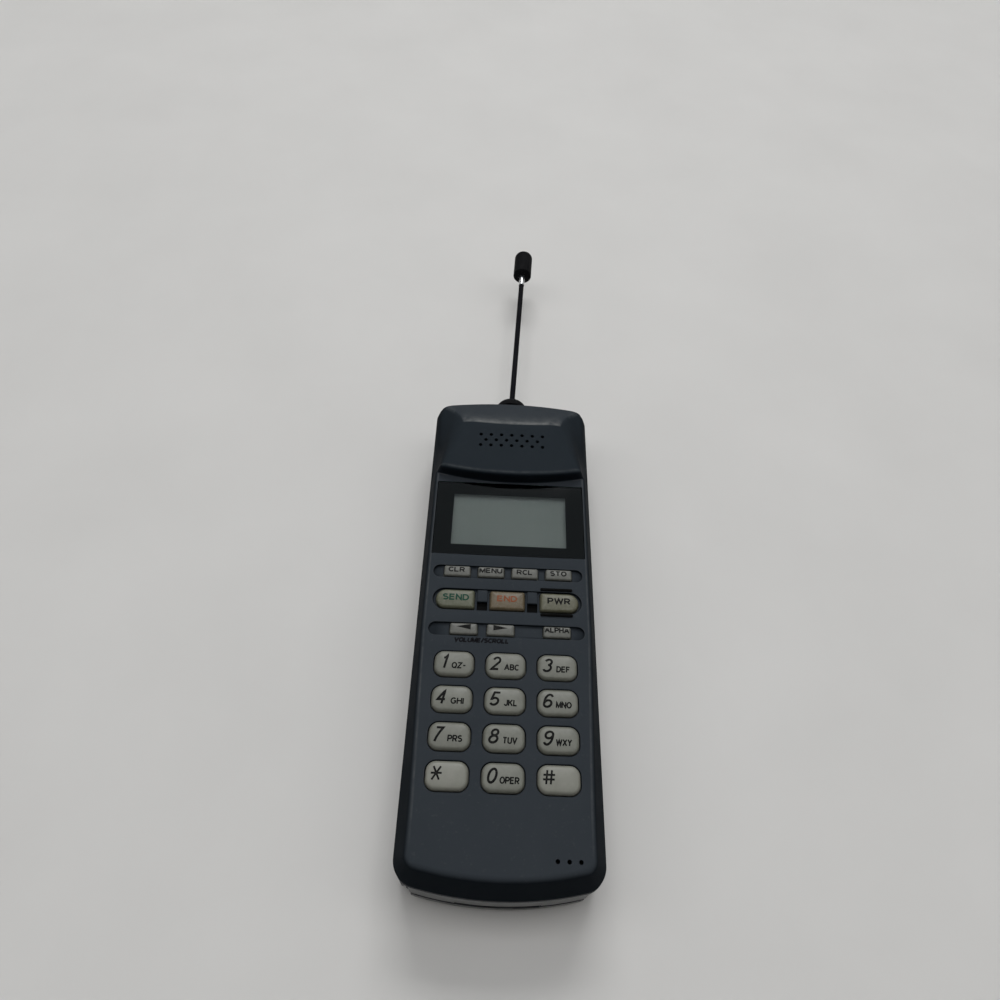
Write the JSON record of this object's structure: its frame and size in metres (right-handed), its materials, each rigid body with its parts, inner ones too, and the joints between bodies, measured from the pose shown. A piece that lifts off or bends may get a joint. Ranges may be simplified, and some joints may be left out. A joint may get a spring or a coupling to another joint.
{
  "type": "brick cell phone",
  "caption": "One-piece cell phone lying on its back: raised earpiece, display window, keypad, pull-out whip antenna and slide-off battery pack.",
  "frame": {"origin": "middle of the back that the handset rests on, halfway along its body", "axes": "+Y towards the antenna, +X to the right of the keypad, +Z out of the key face"},
  "size_m": [0.058, 0.2753, 0.0325],
  "materials": {
    "shell": "fine-textured charcoal ABS, slightly worn at the edges",
    "window": "polished clear acrylic",
    "mask": "black print behind the window",
    "lcd": "grey-green display glass, switched off",
    "light_guide": "milky clear plastic",
    "inner_plastic": "natural moulded plastic",
    "rubber_black": "soft black rubber",
    "rubber_grey": "grey silicone rubber",
    "speaker": "black speaker frame",
    "board": "green solder mask on glass-epoxy",
    "chip": "black moulding compound",
    "bright_metal": "tinned or plated sheet",
    "screw_steel": "dark zinc plate",
    "gold": "gold-plated contact metal",
    "cell": "sleeved nickel cells",
    "antenna_black": "black moulded plastic",
    "whip_black": "black lacquered spring steel",
    "key_grey": "light warm grey key with black print",
    "key_small": "pale grey key with black print",
    "key_send": "pale green-grey key with green print",
    "key_end": "pale pink-grey key with red print",
    "key_power": "off-white key with black print"
  },
  "bodies": {
    "handset": {"front_shell": "shell", "rear_shell": "shell", "display_window": "window", "window_mask": "mask", "lcd_panel": "lcd", "lcd_holder": "inner_plastic", "lcd_light_guide": "light_guide", "lcd_connectors": "rubber_black", "earpiece_speaker": "speaker", "earpiece_gasket": "rubber_black", "speaker_cup": "inner_plastic", "microphone": "bright_metal", "microphone_boot": "rubber_black", "keypad_mat": "rubber_grey", "main_board": "board", "board_chips": "chip", "rf_shield": "bright_metal", "ringer": "chip", "backup_cell": "bright_metal", "case_screws": "screw_steel", "antenna_bushing": "antenna_black", "antenna_tube": "inner_plastic", "antenna_clip": "gold", "battery_springs": "gold"},
    "battery": {"battery_case": "shell", "battery_lid": "shell", "battery_cells": "cell", "battery_pads": "gold", "charge_contacts": "gold", "latch_pin": "screw_steel", "latch_spring": "screw_steel"},
    "catch": {"battery_latch": "shell"},
    "antenna": {"antenna_whip": "whip_black", "antenna_ferrule": "bright_metal", "antenna_tip": "antenna_black"},
    "key_1": {"key_1": "key_grey"},
    "key_2": {"key_2": "key_grey"},
    "key_3": {"key_3": "key_grey"},
    "key_4": {"key_4": "key_grey"},
    "key_5": {"key_5": "key_grey"},
    "key_6": {"key_6": "key_grey"},
    "key_7": {"key_7": "key_grey"},
    "key_8": {"key_8": "key_grey"},
    "key_9": {"key_9": "key_grey"},
    "key_star": {"key_star": "key_grey"},
    "key_0": {"key_0": "key_grey"},
    "key_hash": {"key_hash": "key_grey"},
    "key_left": {"key_left": "key_small"},
    "key_right": {"key_right": "key_small"},
    "key_alpha": {"key_alpha": "key_small"},
    "key_clear": {"key_clear": "key_small"},
    "key_menu": {"key_menu": "key_small"},
    "key_recall": {"key_recall": "key_small"},
    "key_store": {"key_store": "key_small"},
    "key_send": {"key_send": "key_send"},
    "key_end": {"key_end": "key_end"},
    "key_power": {"key_power": "key_power"}
  },
  "joints": [
    {"name": "key_1_press", "type": "slide", "parent": "handset", "child": "key_1", "axis": [0, 0, -1], "range_m": [0, 0.0008], "stiffness_N_per_m": 1500},
    {"name": "key_2_press", "type": "slide", "parent": "handset", "child": "key_2", "axis": [0, 0, -1], "range_m": [0, 0.0008], "stiffness_N_per_m": 1500},
    {"name": "key_3_press", "type": "slide", "parent": "handset", "child": "key_3", "axis": [0, 0, -1], "range_m": [0, 0.0008], "stiffness_N_per_m": 1500},
    {"name": "key_4_press", "type": "slide", "parent": "handset", "child": "key_4", "axis": [0, 0, -1], "range_m": [0, 0.0008], "stiffness_N_per_m": 1500},
    {"name": "key_5_press", "type": "slide", "parent": "handset", "child": "key_5", "axis": [0, 0, -1], "range_m": [0, 0.0008], "stiffness_N_per_m": 1500},
    {"name": "key_6_press", "type": "slide", "parent": "handset", "child": "key_6", "axis": [0, 0, -1], "range_m": [0, 0.0008], "stiffness_N_per_m": 1500},
    {"name": "key_7_press", "type": "slide", "parent": "handset", "child": "key_7", "axis": [0, 0, -1], "range_m": [0, 0.0008], "stiffness_N_per_m": 1500},
    {"name": "key_8_press", "type": "slide", "parent": "handset", "child": "key_8", "axis": [0, 0, -1], "range_m": [0, 0.0008], "stiffness_N_per_m": 1500},
    {"name": "key_9_press", "type": "slide", "parent": "handset", "child": "key_9", "axis": [0, 0, -1], "range_m": [0, 0.0008], "stiffness_N_per_m": 1500},
    {"name": "key_star_press", "type": "slide", "parent": "handset", "child": "key_star", "axis": [0, 0, -1], "range_m": [0, 0.0008], "stiffness_N_per_m": 1500},
    {"name": "key_0_press", "type": "slide", "parent": "handset", "child": "key_0", "axis": [0, 0, -1], "range_m": [0, 0.0008], "stiffness_N_per_m": 1500},
    {"name": "key_hash_press", "type": "slide", "parent": "handset", "child": "key_hash", "axis": [0, 0, -1], "range_m": [0, 0.0008], "stiffness_N_per_m": 1500},
    {"name": "key_left_press", "type": "slide", "parent": "handset", "child": "key_left", "axis": [0, 0, -1], "range_m": [0, 0.0008], "stiffness_N_per_m": 1500},
    {"name": "key_right_press", "type": "slide", "parent": "handset", "child": "key_right", "axis": [0, 0, -1], "range_m": [0, 0.0008], "stiffness_N_per_m": 1500},
    {"name": "key_alpha_press", "type": "slide", "parent": "handset", "child": "key_alpha", "axis": [0, 0, -1], "range_m": [0, 0.0008], "stiffness_N_per_m": 1500},
    {"name": "key_clear_press", "type": "slide", "parent": "handset", "child": "key_clear", "axis": [0, 0, -1], "range_m": [0, 0.0008], "stiffness_N_per_m": 1500},
    {"name": "key_menu_press", "type": "slide", "parent": "handset", "child": "key_menu", "axis": [0, 0, -1], "range_m": [0, 0.0008], "stiffness_N_per_m": 1500},
    {"name": "key_recall_press", "type": "slide", "parent": "handset", "child": "key_recall", "axis": [0, 0, -1], "range_m": [0, 0.0008], "stiffness_N_per_m": 1500},
    {"name": "key_store_press", "type": "slide", "parent": "handset", "child": "key_store", "axis": [0, 0, -1], "range_m": [0, 0.0008], "stiffness_N_per_m": 1500},
    {"name": "key_send_press", "type": "slide", "parent": "handset", "child": "key_send", "axis": [0, 0, -1], "range_m": [0, 0.0008], "stiffness_N_per_m": 1500},
    {"name": "key_end_press", "type": "slide", "parent": "handset", "child": "key_end", "axis": [0, 0, -1], "range_m": [0, 0.0008], "stiffness_N_per_m": 1500},
    {"name": "key_power_press", "type": "slide", "parent": "handset", "child": "key_power", "axis": [0, 0, -1], "range_m": [0, 0.0008], "stiffness_N_per_m": 1500},
    {"name": "antenna_slide", "type": "slide", "parent": "handset", "child": "antenna", "axis": [-0.0419, -0.9991, 0], "range_m": [0, 0.068]},
    {"name": "battery_slide", "type": "slide", "parent": "handset", "child": "battery", "axis": [0, -1, 0], "range_m": [0, 0.13]},
    {"name": "catch_rock", "type": "hinge", "parent": "battery", "child": "catch", "pos_m": [0, 0.029, 0.0033], "axis": [1, 0, 0], "range_deg": [-10, 0], "stiffness_Nm_per_rad": 0.09, "deforming": ["latch_spring"]}
  ]
}
